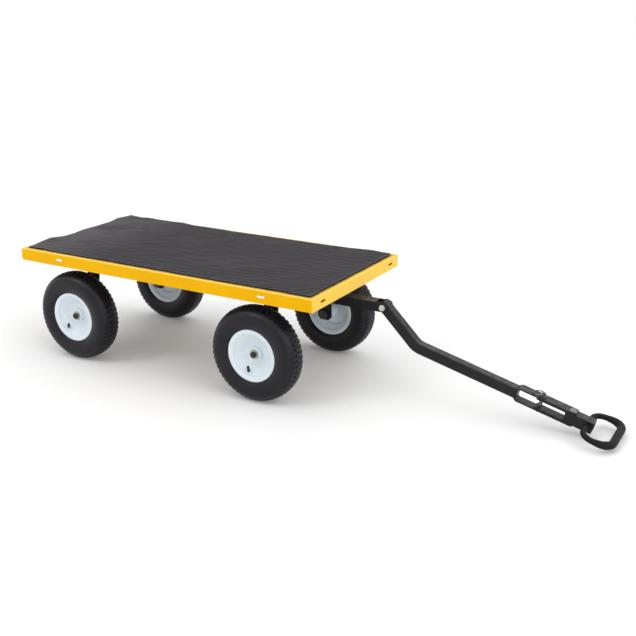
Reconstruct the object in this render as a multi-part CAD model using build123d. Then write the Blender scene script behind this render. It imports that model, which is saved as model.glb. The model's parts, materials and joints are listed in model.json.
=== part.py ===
from build123d import *
import math
import os

# Flatbed garden wagon with steered front axle and a bent drawbar, millimetres.
# +X runs forward to the drawbar, +Y to the left, +Z up; the floor is Z = 0.
# X = 0 is half way between the deck's rear edge and the front of the hand grip.

# Deck tray
deck_length = 1220.0
deck_width = 610.0
deck_height = 391.0
deck_sheet = 2.0
skirt_depth = 42.0
skirt_lip = 14.0
deck_fold = 4.0
slot_length = 30.0
slot_width = 8.0
slot_drop = 20.0
side_slot_spacing = 850.0
end_slot_spacing = 478.0

# Rubber mat lying on the deck
mat_inset_end = 18.0
mat_inset_side = 20.0
mat_thickness = 5.0
mat_corner = 12.0

# Hat shaped crossmembers welded under the deck sheet
hat_depth = 38.0
hat_crown = 34.0
hat_flange = 14.0
hat_sheet = 3.0
hat_offset = 42.0
hat_end_gap = 48.0

# Axles, measured from the deck centre
rear_axle_back = 391.0
front_axle_ahead = 377.0
axle_radius = 8.0
axle_thread_radius = 6.0
axle_end_proud = 2.0
stub_flats = 30.0
stub_head = 10.0
running_gap = 0.05

# Inverted U frames that carry the axles
frame_plate = 6.0
frame_half_top = 62.0
frame_half_leg = 27.0
frame_web_half = 128.0
frame_taper = 20.0
frame_foot_drop = 20.0
frame_foot_chamfer = 11.0
leg_tyre_gap = 23.0
leg_lean = 23.0
frame_bend = 10.0

# Wheels
track = 520.0
tyre_headroom = 26.0
tyre_width = 88.0
tyre_crown_wall = 11.0
tyre_side_wall = 7.0
shoulder_drop = 14.0
shoulder_inset = 5.0
tread_inset = 15.0
tread_drop = 4.0
bead_width = 10.0
bead_radius = 75.2
flange_radius = 89.0
flange_reach = 36.0
rim_sheet = 2.5
well_radius = 58.0
well_half = 11.0
seat_inner = 22.0
disc_outset = 2.0
disc_sheet = 3.0
tyre_seat_gap = 0.2
hub_radius = 21.0
hub_outer_end = 16.5
hub_inner_gap = 0.5
bearing_radius = 17.5
bearing_width = 11.0
washer_radius = 16.0
washer_thickness = 2.5
axle_nut_flats = 19.0
axle_nut_height = 8.0
valve_radius = 5.0
valve_stem_radius = 3.6
valve_base = 7.0
valve_length = 26.0
valve_turns = {"front_right": 20.0, "rear_right": 41.0, "front_left": -20.0, "rear_left": 60.0}

# Turntable between the deck and the front axle frame
upper_plate = 6.0
upper_plate_x = 220.0
upper_plate_y = 290.0
wear_ring = 12.0
wear_ring_outer = 105.0
wear_ring_inner = 60.0
lower_plate = 9.0
lower_plate_radius = 110.0
stop_lug_reach = 140.0
stop_lug_width = 30.0
stop_pin_circle = 125.0
stop_pin_radius = 6.0
stop_pin_clear = 1.0
stop_angle = 70.0
stop_gap = 0.3
kingpin_radius = 8.0
kingpin_flats = 24.0
kingpin_head = 10.0
kingpin_nut = 15.0
kingpin_washer = 3.0
kingpin_washer_radius = 18.0
thread_proud = 3.0

# Frame bolts
bolt_radius = 5.0
bolt_flats = 17.0
bolt_head = 6.4
bolt_nut = 8.4
web_bolt_edge = 14.0
turntable_bolt_y = 125.0

# Tongue tube and drawbar hinge
tongue_width = 43.0
tongue_depth = 32.0
tongue_wall = 3.0
hinge_ahead = 332.0
ear_cut = 28.0
hinge_radius = 6.0
hinge_flats = 18.0
hinge_head = 7.5
hinge_nut = 12.0
hinge_washer_radius = 10.5
hinge_washer = 2.5
bush_radius = 9.0
bush_side_gap = 0.3

# Bent drawbar, measured along its centre line
bar_size = 35.0
bar_wall = 3.0
bar_corner = 4.0
bar_overhang = 18.0
bar_end_corner = 12.0
bar_rear_run = 166.0
bar_front_run = 351.0
bar_bend_angle = 30.7
bar_bend = 60.0

# Clevis and yoke at the drawbar's front end, along the front run from the tube's end
clevis_width = 38.0
clevis_plate = 4.5
clevis_length = 192.0
clevis_bend = 11.0
clevis_end_corner = 8.0
yoke_size = 36.5
yoke_wall = 5.0
yoke_rear = 66.0
yoke_front = 250.0
yoke_window_end = 160.0
yoke_window_corner = 4.0
yoke_gap = 0.3
yoke_bolt_at = 178.0
yoke_bolt_radius = 6.0
yoke_bolt_head_radius = 12.5
yoke_bolt_head = 6.5
yoke_nut_flats = 19.0
yoke_nut = 5.0
yoke_bolt_proud = 1.0
lock_pin_at = 79.0
lock_pin_radius = 6.0
lock_pin_tail = 9.0
lock_pin_flange_radius = 11.5
lock_pin_flange = 4.0
lock_pin_tab_width = 14.0
lock_pin_tab = 6.0
lock_pin_head = 14.0
lock_ring_radius = 16.0
lock_ring_wire = 1.75
lock_ring_hole_gap = 0.7

# Hand loop with its rubber sleeve
loop_at = 232.0
loop_neck_height = 40.6
loop_rod = 9.0
loop_half_width = 92.0
loop_reach = 90.0
loop_bend = 40.0
grip_radius = 12.5
grip_start = 42.0
grip_floor_gap = 9.0

# Heights that follow from the stack under the deck
deck_under = deck_height - deck_sheet
hat_bottom = deck_under - hat_depth
upper_plate_bottom = hat_bottom - upper_plate
lower_plate_top = upper_plate_bottom - wear_ring
front_web_top = lower_plate_top - lower_plate
tongue_top = front_web_top - frame_plate
hinge_z = tongue_top - tongue_depth / 2

# The tyres stay clear of the skirts above them and of the legs between them
tyre_radius = (deck_height - skirt_depth - tyre_headroom) / 2
axle_z = tyre_radius
frame_leg_outer = (track - tyre_width) / 2 - leg_tyre_gap
rear_bolt_y = frame_web_half - web_bolt_edge

# The drawbar slopes down until the hand loop's neck is at its height above the floor
bend_angle = math.radians(bar_bend_angle)
bar_along = bar_front_run + loop_at + bar_rear_run * math.cos(bend_angle)
bar_aside = bar_rear_run * math.sin(bend_angle)
bar_fall = hinge_z - loop_neck_height
front_pitch = math.asin(bar_fall / math.hypot(bar_along, bar_aside)) - math.atan2(bar_aside, bar_along)
rear_pitch = front_pitch + bend_angle

# Places along the drawbar, seen from the hinge
hinge_from_deck = front_axle_ahead + hinge_ahead
bend_from_deck = hinge_from_deck + bar_rear_run * math.cos(rear_pitch)
bend_z = hinge_z - bar_rear_run * math.sin(rear_pitch)
bar_end_from_deck = bend_from_deck + bar_front_run * math.cos(front_pitch)
bar_end_z = bend_z - bar_front_run * math.sin(front_pitch)
loop_from_deck = bar_end_from_deck + loop_at * math.cos(front_pitch)
loop_z = bar_end_z - loop_at * math.sin(front_pitch)
grip_z = grip_radius + grip_floor_gap
loop_pitch = math.asin((loop_z - grip_z) / loop_reach)
grip_front_from_deck = loop_from_deck + loop_reach * math.cos(loop_pitch) + grip_radius

# The deck's centre in the wagon's own frame
deck_x = -(grip_front_from_deck - deck_length / 2) / 2
rear_axle_x = deck_x - rear_axle_back
front_axle_x = deck_x + front_axle_ahead
hinge_x = deck_x + hinge_from_deck

bar_frame = Plane(
    origin=(deck_x + bar_end_from_deck, 0, bar_end_z),
    x_dir=(math.cos(front_pitch), 0, -math.sin(front_pitch)),
    z_dir=(math.sin(front_pitch), 0, math.cos(front_pitch)),
)
loop_frame = Plane(
    origin=(deck_x + loop_from_deck, 0, loop_z),
    x_dir=(math.cos(loop_pitch), 0, -math.sin(loop_pitch)),
    z_dir=(math.sin(loop_pitch), 0, math.cos(loop_pitch)),
)


def upright(radius, low, high, x=0.0, y=0.0):
    return Pos(x, y, low) * extrude(Circle(radius), high - low)


def across(radius, start, end, x=0.0, z=0.0):
    return Pos(x, start, z) * Rot(-90, 0, 0) * extrude(Circle(radius), end - start)


def hexagon(flats, height):
    return extrude(RegularPolygon(flats / math.sqrt(3), 6), height)


def block(x0, x1, y0, y1, z0, z1):
    size = (x1 - x0, y1 - y0, z1 - z0)
    return Pos((x0 + x1) / 2, (y0 + y1) / 2, (z0 + z1) / 2) * Box(*size)


def slot_cutter(along_x):
    depth = 8 * deck_sheet
    cutter = extrude(SlotOverall(slot_length, slot_width), depth / 2, both=True)
    cutter = Rot(90, 0, 0) * cutter
    return cutter if along_x else Rot(0, 0, 90) * cutter


def deck_pan():
    half_x = deck_length / 2
    half_y = deck_width / 2
    low = deck_height - skirt_depth
    pan = block(-half_x, half_x, -half_y, half_y, low, deck_height)
    folds = pan.faces().sort_by(Axis.Z)[-1].edges() + pan.edges().filter_by(Axis.Z)
    pan = fillet(folds, deck_fold)
    slot_z = deck_height - slot_drop
    for end in (-1, 1):
        for side in (-1, 1):
            pan -= Pos(end * side_slot_spacing / 2, side * half_y, slot_z) * slot_cutter(True)
            pan -= Pos(end * half_x, side * end_slot_spacing / 2, slot_z) * slot_cutter(False)
    panels = [(pan & zone).solid() for zone in panel_zones(half_x, half_y, low)]
    return Pos(deck_x, 0, 0) * Compound(children=panels)


# The folded tray is drawn as its flat panels: top sheet, four skirts and four lips
def panel_zones(half_x, half_y, low):
    in_x = half_x - deck_sheet
    in_y = half_y - deck_sheet
    lip_x = half_x - skirt_lip
    lip_y = half_y - skirt_lip
    lip_top = low + deck_sheet
    zones = [block(-half_x, half_x, -half_y, half_y, deck_under, deck_height)]
    for near, far in ((in_y, half_y), (-half_y, -in_y)):
        zones.append(block(-half_x, half_x, near, far, low, deck_under))
    for near, far in ((in_x, half_x), (-half_x, -in_x)):
        zones.append(block(near, far, -in_y, in_y, low, deck_under))
    for near, far in ((lip_y, in_y), (-in_y, -lip_y)):
        zones.append(block(-in_x, in_x, near, far, low, lip_top))
    for near, far in ((lip_x, in_x), (-in_x, -lip_x)):
        zones.append(block(near, far, -lip_y, lip_y, low, lip_top))
    return zones


def deck_mat():
    outline = RectangleRounded(deck_length - 2 * mat_inset_end, deck_width - 2 * mat_inset_side, mat_corner)
    return Pos(deck_x, 0, deck_height) * extrude(outline, mat_thickness)


def crossmember(x):
    half = hat_crown / 2
    brim = half + hat_flange
    inner = half - hat_sheet
    section = Polyline(
        (-brim, 0), (-brim, -hat_sheet), (-half, -hat_sheet), (-half, -hat_depth),
        (half, -hat_depth), (half, -hat_sheet), (brim, -hat_sheet), (brim, 0),
        (inner, 0), (inner, hat_sheet - hat_depth), (-inner, hat_sheet - hat_depth), (-inner, 0),
        close=True,
    )
    reach = deck_width / 2 - skirt_lip - hat_end_gap
    bar = extrude(Plane.XZ * make_face(section), reach, both=True)
    return Pos(x, 0, deck_under) * bar


def pierced_crossmember(x, bolt_y):
    bar = crossmember(x)
    for side in (-1, 1):
        bar -= upright(bolt_radius + running_gap, hat_bottom - 1, hat_bottom + hat_sheet + 1,
                       x, side * bolt_y)
    return bar


# The web narrows at its ends to the legs, which lean in above a foot that stands upright
def axle_frame(x, web_top):
    leg = frame_leg_outer
    top = leg - leg_lean
    foot = axle_z - frame_foot_drop
    knee = axle_z + frame_foot_drop
    outer = [(leg, foot), (leg, knee), (top, web_top)]
    inside = leg - frame_plate
    inner = [(inside, foot), (inside, knee), (top - frame_plate, web_top - frame_plate)]
    outer += [(-y, z) for y, z in outer[::-1]]
    inner += [(-y, z) for y, z in inner[::-1]]
    face = make_face(Polyline(*outer, *inner[::-1], close=True))
    face = fillet(face.vertices().group_by(Axis.Y)[-2], frame_bend - frame_plate)
    face = fillet(face.vertices().group_by(Axis.Y)[-1], frame_bend)
    shell = extrude(Plane.YZ * face, frame_half_top, both=True)
    side = [
        (frame_half_top, web_top), (frame_half_top, knee), (frame_half_leg, foot + frame_foot_chamfer),
        (frame_half_leg - frame_foot_chamfer, foot),
    ]
    side_view = Polyline(*side, *[(-x, z) for x, z in side[::-1]], close=True)
    shell &= extrude(Plane.XZ * make_face(side_view), leg + 1, both=True)
    shell &= extrude(make_face(frame_plan(leg)), web_top + 1)
    shell -= across(axle_radius + running_gap, -leg - 1, leg + 1, 0, axle_z)
    return Pos(x, 0, 0) * shell


def frame_plan(reach):
    corner = [
        (frame_half_top, frame_web_half), (frame_half_leg, frame_web_half + frame_taper),
        (frame_half_leg, reach + 1),
    ]
    front = [(x, -y) for x, y in corner[::-1]] + corner
    return Polyline(*front, *[(-x, y) for x, y in front[::-1]], close=True)


def rear_axle_frame():
    frame = axle_frame(rear_axle_x, hat_bottom)
    for end in (-1, 1):
        for side in (-1, 1):
            frame -= upright(bolt_radius + running_gap, hat_bottom - frame_plate - 1, hat_bottom + 1,
                             rear_axle_x + end * hat_offset, side * rear_bolt_y)
    return frame


def front_axle_frame():
    frame = axle_frame(front_axle_x, front_web_top)
    return frame - upright(kingpin_radius + running_gap, tongue_top - 1, front_web_top + 1, front_axle_x)


wheel_y = track / 2
hub_outer = wheel_y + hub_outer_end
hub_inner = frame_leg_outer + washer_thickness + hub_inner_gap
axle_reach = hub_outer + washer_thickness + axle_nut_height + axle_end_proud


def stub_axles(x):
    seat = frame_leg_outer - frame_plate
    stubs = []
    for side in (-1, 1):
        stub = upright(axle_radius, seat, hub_outer) + upright(axle_thread_radius, hub_outer, axle_reach)
        stub += Pos(0, 0, seat - stub_head) * hexagon(stub_flats, stub_head)
        stubs.append(Pos(x, 0, axle_z) * Rot(-90 * side, 0, 0) * stub)
    return Compound(children=stubs)


def axle_washers(x):
    rings = []
    for side in (-1, 1):
        for y, shaft in ((frame_leg_outer, axle_radius), (hub_outer, axle_thread_radius)):
            ends = sorted((side * y, side * (y + washer_thickness)))
            ring = across(washer_radius, *ends, x, axle_z)
            rings.append(ring - across(shaft + running_gap, *ends, x, axle_z))
    return Compound(children=rings)


def axle_nuts(x):
    nuts = []
    for side in (-1, 1):
        seat = hub_outer + washer_thickness
        nut = hexagon(axle_nut_flats, axle_nut_height)
        nut = chamfer(nut.faces().sort_by(Axis.Z)[-1].edges(), 1)
        nut -= upright(axle_thread_radius + running_gap, -1, axle_nut_height + 1)
        nuts.append(Pos(x, side * seat, axle_z) * Rot(-90 * side, 0, 0) * nut)
    return Compound(children=nuts)


def frame_bolts(x, bolt_y):
    tip = hat_bottom + hat_sheet + bolt_nut + thread_proud
    seat = hat_bottom - frame_plate
    bolts = []
    for end in (-1, 1):
        for side in (-1, 1):
            bolt = Pos(0, 0, seat - bolt_head) * hexagon(bolt_flats, bolt_head)
            bolt += upright(bolt_radius, seat, tip)
            bolts.append(Pos(x + end * hat_offset, side * bolt_y, 0) * bolt)
    return Compound(children=bolts)


def frame_nuts(x, bolt_y):
    seat = hat_bottom + hat_sheet
    nuts = []
    for end in (-1, 1):
        for side in (-1, 1):
            nut = hexagon(bolt_flats, bolt_nut) - upright(bolt_radius + running_gap, -1, bolt_nut + 1)
            nuts.append(Pos(x + end * hat_offset, side * bolt_y, seat) * nut)
    return Compound(children=nuts)


def turntable_upper_plate():
    plate = Pos(0, 0, upper_plate_bottom) * extrude(
        RectangleRounded(upper_plate_x, upper_plate_y, frame_bend), upper_plate)
    plate -= upright(kingpin_radius + running_gap, upper_plate_bottom - 1, hat_bottom + 1)
    for end in (-1, 1):
        for side in (-1, 1):
            plate -= upright(bolt_radius + running_gap, upper_plate_bottom - 1, hat_bottom + 1,
                             end * hat_offset, side * turntable_bolt_y)
    return Pos(front_axle_x, 0, 0) * plate


def turntable_wear_ring():
    ring = upright(wear_ring_outer, lower_plate_top, upper_plate_bottom)
    ring -= upright(wear_ring_inner, lower_plate_top - 1, upper_plate_bottom + 1)
    return Pos(front_axle_x, 0, 0) * ring


def steering_stop_pins():
    offset = stop_lug_width / 2 + stop_pin_radius + stop_gap
    turn = math.radians(stop_angle) + math.asin(offset / stop_pin_circle)
    pins = []
    for side in (-1, 1):
        x = front_axle_x - stop_pin_circle * math.cos(turn)
        y = side * stop_pin_circle * math.sin(turn)
        pins.append(upright(stop_pin_radius, front_web_top + stop_pin_clear, upper_plate_bottom, x, y))
    return Compound(children=pins)


def turntable_lower_plate():
    plate = upright(lower_plate_radius, front_web_top, lower_plate_top)
    lug_half = stop_lug_width / 2
    plate += block(-stop_lug_reach, 0, -lug_half, lug_half, front_web_top, lower_plate_top)
    plate -= upright(kingpin_radius + running_gap, front_web_top - 1, lower_plate_top + 1)
    return Pos(front_axle_x, 0, 0) * plate


tongue_bottom = tongue_top - tongue_depth


def kingpin_bolt():
    tip = tongue_bottom - kingpin_washer - kingpin_nut - thread_proud
    bolt = upright(kingpin_radius, tip, hat_bottom)
    bolt += Pos(0, 0, hat_bottom) * hexagon(kingpin_flats, kingpin_head)
    return Pos(front_axle_x, 0, 0) * bolt


def kingpin_washer_ring():
    ring = upright(kingpin_washer_radius, tongue_bottom - kingpin_washer, tongue_bottom)
    ring -= upright(kingpin_radius + running_gap, tongue_bottom - kingpin_washer - 1, tongue_bottom + 1)
    return Pos(front_axle_x, 0, 0) * ring


def kingpin_lock_nut():
    nut = hexagon(kingpin_flats, kingpin_nut) - upright(kingpin_radius + running_gap, -1, kingpin_nut + 1)
    return Pos(front_axle_x, 0, tongue_bottom - kingpin_washer - kingpin_nut) * nut


def tongue_tube():
    half = tongue_width / 2
    ear = tongue_depth / 2
    start = front_axle_x - frame_half_top
    tube = block(start, hinge_x, -half, half, tongue_bottom, tongue_top)
    tube += across(ear, -half, half, hinge_x, hinge_z)
    inner = half - tongue_wall
    tube -= block(start - 1, hinge_x - ear_cut, -inner, inner,
                  tongue_bottom + tongue_wall, tongue_top - tongue_wall)
    tube -= block(hinge_x - ear_cut, hinge_x + ear + 1, -inner, inner, tongue_bottom - 1, tongue_top + 1)
    tube -= across(hinge_radius + running_gap, -half - 1, half + 1, hinge_x, hinge_z)
    tube -= upright(kingpin_radius + running_gap, tongue_bottom - 1, tongue_top + 1, front_axle_x)
    return tube


def hinge_bolt():
    half = tongue_width / 2
    seat = -half - hinge_washer
    tip = half + hinge_washer + hinge_nut + thread_proud
    bolt = across(hinge_radius, seat, tip)
    head = hexagon(hinge_flats, hinge_head)
    head = chamfer(head.faces().sort_by(Axis.Z)[-1].edges(), 1)
    bolt += Pos(0, seat, 0) * Rot(90, 0, 0) * head
    return Pos(hinge_x, 0, hinge_z) * bolt


def hinge_washers():
    half = tongue_width / 2
    rings = []
    for ends in ((-half - hinge_washer, -half), (half, half + hinge_washer)):
        ring = across(hinge_washer_radius, *ends, hinge_x, hinge_z)
        rings.append(ring - across(hinge_radius + running_gap, *ends, hinge_x, hinge_z))
    return Compound(children=rings)


def hinge_lock_nut():
    nut = hexagon(hinge_flats, hinge_nut) - upright(hinge_radius + running_gap, -1, hinge_nut + 1)
    return Pos(hinge_x, tongue_width / 2 + hinge_washer, hinge_z) * Rot(-90, 0, 0) * nut


def hinge_bush():
    half = tongue_width / 2 - tongue_wall - bush_side_gap
    sleeve = across(bush_radius, -half, half, hinge_x, hinge_z)
    return sleeve - across(hinge_radius + running_gap, -half - 1, half + 1, hinge_x, hinge_z)


def bar_path():
    start = (hinge_x - bar_overhang * math.cos(rear_pitch), hinge_z + bar_overhang * math.sin(rear_pitch))
    bend = (deck_x + bend_from_deck, bend_z)
    end = (deck_x + bar_end_from_deck, bar_end_z)
    return Plane(origin=(0, 0, 0), x_dir=(1, 0, 0), z_dir=(0, -1, 0)) * FilletPolyline(
        start, bend, end, radius=bar_bend)


def drawbar_tube():
    path = bar_path()
    start = Plane(origin=path @ 0, x_dir=(0, 1, 0), z_dir=path % 0)
    inner = bar_size - 2 * bar_wall
    tube = sweep(start * RectangleRounded(bar_size, bar_size, bar_corner), path=path)
    tube -= sweep(start * Rectangle(inner, inner), path=path)
    tube -= bar_end_trim()
    return tube - across(bush_radius, -bar_size, bar_size, hinge_x, hinge_z)


def bar_end_trim():
    waste = Pos(-bar_overhang / 2, 0) * Rectangle(bar_overhang, bar_size)
    waste -= fillet(waste.vertices().group_by(Axis.X)[0], bar_end_corner)
    rear_frame = Plane(
        origin=(hinge_x, 0, hinge_z),
        x_dir=(math.cos(rear_pitch), 0, -math.sin(rear_pitch)),
        z_dir=(0, -1, 0),
    )
    return extrude(rear_frame * waste, bar_size, both=True)


clevis_inner = yoke_size / 2 + yoke_gap
clevis_outer = clevis_inner + clevis_plate


def tow_clevis():
    outline = Polyline(
        (clevis_length, -clevis_outer), (0, -clevis_outer), (0, clevis_outer),
        (clevis_length, clevis_outer), (clevis_length, clevis_inner), (clevis_plate, clevis_inner),
        (clevis_plate, -clevis_inner), (clevis_length, -clevis_inner), close=True,
    )
    face = make_face(outline)
    inner_corners = face.vertices().group_by(Axis.X)[1]
    face = fillet(inner_corners, clevis_bend - clevis_plate)
    face = fillet(face.vertices().group_by(Axis.X)[0], clevis_bend)
    strap = extrude(Plane.XZ * face, clevis_width / 2, both=True)
    plan = Pos(clevis_length / 2, 0, 0) * Rectangle(clevis_length, clevis_width)
    plan = fillet(plan.vertices().group_by(Axis.X)[-1], clevis_end_corner)
    strap &= extrude(plan, clevis_outer + 1, both=True)
    strap -= upright(yoke_bolt_radius + running_gap, -clevis_outer - 1, clevis_outer + 1, yoke_bolt_at)
    strap -= upright(lock_pin_radius + running_gap, -clevis_outer - 1, clevis_outer + 1, lock_pin_at)
    return bar_frame.location * strap


def grip_yoke():
    half = yoke_size / 2
    inner = half - yoke_wall
    tube = block(yoke_rear, yoke_front, -half, half, -half, half)
    tube -= block(yoke_rear - 1, yoke_front + 1, -inner, inner, -inner, inner)
    window = block(yoke_rear - yoke_size, yoke_window_end, -half - 1, half + 1, -inner, inner)
    window = fillet(window.edges().filter_by(Axis.Y).group_by(Axis.X)[-1], yoke_window_corner)
    tube -= window
    tube -= upright(yoke_bolt_radius + running_gap, -half - 1, half + 1, yoke_bolt_at)
    tube -= upright(lock_pin_radius + running_gap, -half - 1, half + 1, lock_pin_at)
    tube -= across(loop_rod + running_gap, -half - 1, half + 1, loop_at)
    return bar_frame.location * tube


def yoke_pivot_bolt():
    seat = clevis_outer
    tip = -clevis_outer - yoke_nut - yoke_bolt_proud
    rise = yoke_bolt_head
    ball = (yoke_bolt_head_radius ** 2 + rise ** 2) / (2 * rise)
    dome = Pos(0, 0, seat + rise - ball) * Sphere(ball)
    dome &= upright(yoke_bolt_head_radius, seat, seat + rise + 1)
    bolt = dome + upright(yoke_bolt_radius, tip, seat)
    return bar_frame.location * Pos(yoke_bolt_at, 0, 0) * bolt


def yoke_pivot_nut():
    nut = hexagon(yoke_nut_flats, yoke_nut) - upright(yoke_bolt_radius + running_gap, -1, yoke_nut + 1)
    return bar_frame.location * Pos(yoke_bolt_at, 0, -clevis_outer - yoke_nut) * nut


lock_ring_hole = clevis_outer + lock_pin_head - 2 * (lock_ring_wire + lock_ring_hole_gap)


def lock_pin():
    pin = upright(lock_pin_radius, -clevis_outer - lock_pin_tail, clevis_outer)
    tail = pin.edges().sort_by(Axis.Z)[0]
    pin = chamfer(tail, lock_pin_radius / 3)
    pin += upright(lock_pin_flange_radius, clevis_outer, clevis_outer + lock_pin_flange)
    half = lock_pin_tab_width / 2
    side = lock_pin_tab / 2
    tab = block(-half, half, -side, side, clevis_outer, clevis_outer + lock_pin_head)
    pin += fillet(tab.edges().filter_by(Axis.Y).group_by(Axis.Z)[-1], half - 1)
    pin -= across(lock_ring_wire + lock_ring_hole_gap, -lock_pin_head, lock_pin_head, 0, lock_ring_hole)
    return bar_frame.location * Pos(lock_pin_at, 0, 0) * pin


def lock_pin_ring():
    drop = lock_ring_hole - clevis_outer - lock_ring_wire - lock_ring_hole_gap
    tilt = math.degrees(math.asin(drop / (2 * lock_ring_radius)))
    ring = Pos(-lock_ring_radius, 0, 0) * Torus(lock_ring_radius, lock_ring_wire)
    return bar_frame.location * Pos(lock_pin_at, 0, lock_ring_hole) * Rot(0, -tilt, 0) * ring


def loop_half(side):
    path = FilletPolyline(
        (0, 0), (0, side * loop_half_width), (loop_reach, side * loop_half_width), (loop_reach, 0),
        radius=loop_bend)
    start = Plane(origin=path @ 0, x_dir=(0, 0, 1), z_dir=path % 0)
    return sweep(start * Circle(loop_rod), path=path)


def hand_loop():
    return loop_frame.location * (loop_half(-1) + loop_half(1))


def hand_grip():
    path = FilletPolyline(
        (grip_start, -loop_half_width), (loop_reach, -loop_half_width),
        (loop_reach, loop_half_width), (grip_start, loop_half_width), radius=loop_bend)
    start = Plane(origin=path @ 0, x_dir=(0, 0, 1), z_dir=path % 0)
    sleeve = sweep(start * Circle(grip_radius), path=path)
    sleeve -= sweep(start * Circle(loop_rod), path=path)
    return loop_frame.location * sleeve


# Wheel sections are drawn with the wheel's outward direction as X and the radius as Y
def turned(section):
    spun = revolve(section, Axis.X, 360)
    return Rot(0, 0, 90) * spun


def rim_section():
    tip = flange_reach
    wall = tip - rim_sheet
    bend = 2 * rim_sheet
    seat_out = wall - bend / 2
    tyre_side = [
        (tip, flange_radius), (wall, flange_radius - rim_sheet), (wall, bead_radius + bend / 2),
        (seat_out, bead_radius), (seat_inner, bead_radius), (well_half, well_radius),
    ]
    bowl_side = [
        (well_half + rim_sheet, well_radius - rim_sheet), (seat_inner + rim_sheet, bead_radius - rim_sheet),
        (seat_out + rim_sheet / 2, bead_radius - rim_sheet), (tip, bead_radius + bend / 2 - rim_sheet),
        (tip + rim_sheet / 3, flange_radius - bend),
    ]
    outer = tyre_side + [(-x, r) for x, r in tyre_side[::-1]]
    inner = [(-x, r) for x, r in bowl_side[::-1]] + bowl_side
    return make_face(Polyline(*outer, *inner, close=True))


def wheel_rim():
    rim = turned(rim_section())
    disc = make_face(Polyline(
        (disc_outset - disc_sheet, hub_radius), (disc_outset, hub_radius),
        (disc_outset, well_radius - rim_sheet / 2), (disc_outset - disc_sheet, well_radius - rim_sheet / 2),
        close=True))
    rim += turned(disc)
    return rim - valve_place() * upright(valve_radius + running_gap, -valve_base, valve_base)


def valve_place():
    cone_x = (seat_inner + well_half + rim_sheet) / 2
    cone_r = (bead_radius + well_radius - rim_sheet) / 2
    slope = math.degrees(math.atan2(bead_radius - well_radius, seat_inner - well_half))
    return Pos(0, cone_x, -cone_r) * Rot(slope - 90, 0, 0)


def valve_stem():
    stem = upright(valve_radius, -valve_base, valve_base)
    stem += upright(valve_stem_radius, valve_base, valve_length)
    return valve_place() * stem


def wheel_tyre():
    half = tyre_width / 2
    heel = flange_reach - rim_sheet - tyre_seat_gap
    seat = bead_radius + tyre_seat_gap
    toe = heel - bead_width
    lip = flange_radius + rim_sheet
    shoulder = tyre_radius - shoulder_drop
    widest = (lip + shoulder) / 2 + rim_sheet
    inner_half = half - tyre_side_wall
    crown = tyre_radius - tyre_crown_wall
    tread_edge = (half - tread_inset, tyre_radius - tread_drop)
    tread = TangentArc((0, tyre_radius), tread_edge, tangent=(1, 0))
    side = Spline(tread_edge, (half - shoulder_inset, shoulder), (half, widest), (flange_reach, lip),
                  tangents=(tread % 1, (-0.5, -1)))
    bead = Polyline((flange_reach, lip), (heel, flange_radius - rim_sheet), (heel, seat + rim_sheet),
                    (heel - rim_sheet, seat), (toe, seat), (toe, lip))
    lining = Spline((toe, lip), (inner_half, widest), (inner_half - shoulder_inset, crown - shoulder_inset),
                    (0, crown), tangents=((0.5, 1), (-1, 0)))
    right = make_face([tread, side, bead, lining, Line((0, crown), (0, tyre_radius))])
    return turned(right + mirror(right, Plane.YZ))


def wheel_hub():
    low = hub_inner - wheel_y
    high = hub_outer_end
    hub = across(hub_radius, low, high)
    hub -= across(bearing_radius - rim_sheet, low - 1, high + 1)
    for start, end in ((low - 1, low + bearing_width), (high - bearing_width, high + 1)):
        hub -= across(bearing_radius, start, end)
    return hub


def wheel_bearings():
    low = hub_inner - wheel_y
    high = hub_outer_end
    rings = []
    for start, end in ((low, low + bearing_width), (high - bearing_width, high)):
        ring = across(bearing_radius, start, end)
        rings.append(ring - across(axle_radius + running_gap, start - 1, end + 1))
    return Compound(children=rings)


def wheel_place(corner):
    x = front_axle_x if corner.startswith("front") else rear_axle_x
    left = corner.endswith("left")
    y = wheel_y if left else -wheel_y
    facing = Rot(0, 0, 0 if left else 180)
    return Pos(x, y, axle_z) * facing * Rot(0, -valve_turns[corner], 0)


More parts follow.
